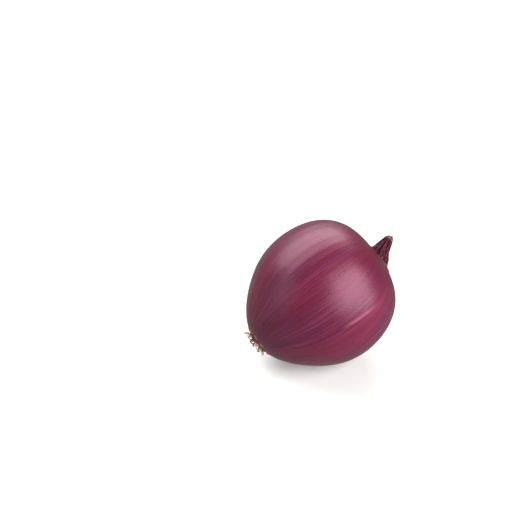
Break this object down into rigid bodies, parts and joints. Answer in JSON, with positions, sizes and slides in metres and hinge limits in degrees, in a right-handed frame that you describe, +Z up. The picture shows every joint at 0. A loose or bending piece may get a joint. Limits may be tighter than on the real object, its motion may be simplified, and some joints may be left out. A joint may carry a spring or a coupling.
{
  "type": "red onion",
  "caption": "Whole red onion lying on its side on a small flat spot, with a short dried neck and dried roots curling from its root plate.",
  "frame": {"origin": "middle of the flat spot that the onion rests on", "axes": "+Z up; the line from root plate to neck lies over +X and climbs about 30 degrees, so the neck points towards +X and up, and the root plate towards -X and down"},
  "size_m": [0.0826, 0.0741, 0.0755],
  "materials": {
    "skin": "papery purple-red onion skin with a satin sheen and fine veins from root plate to neck",
    "dried_root": "dry wiry off-white root, dull"
  },
  "bodies": {
    "root": {"bulb": "skin", "root_01": "dried_root", "root_02": "dried_root", "root_03": "dried_root", "root_04": "dried_root", "root_05": "dried_root", "root_06": "dried_root", "root_07": "dried_root", "root_08": "dried_root", "root_09": "dried_root", "root_10": "dried_root", "root_11": "dried_root"}
  },
  "joints": []
}
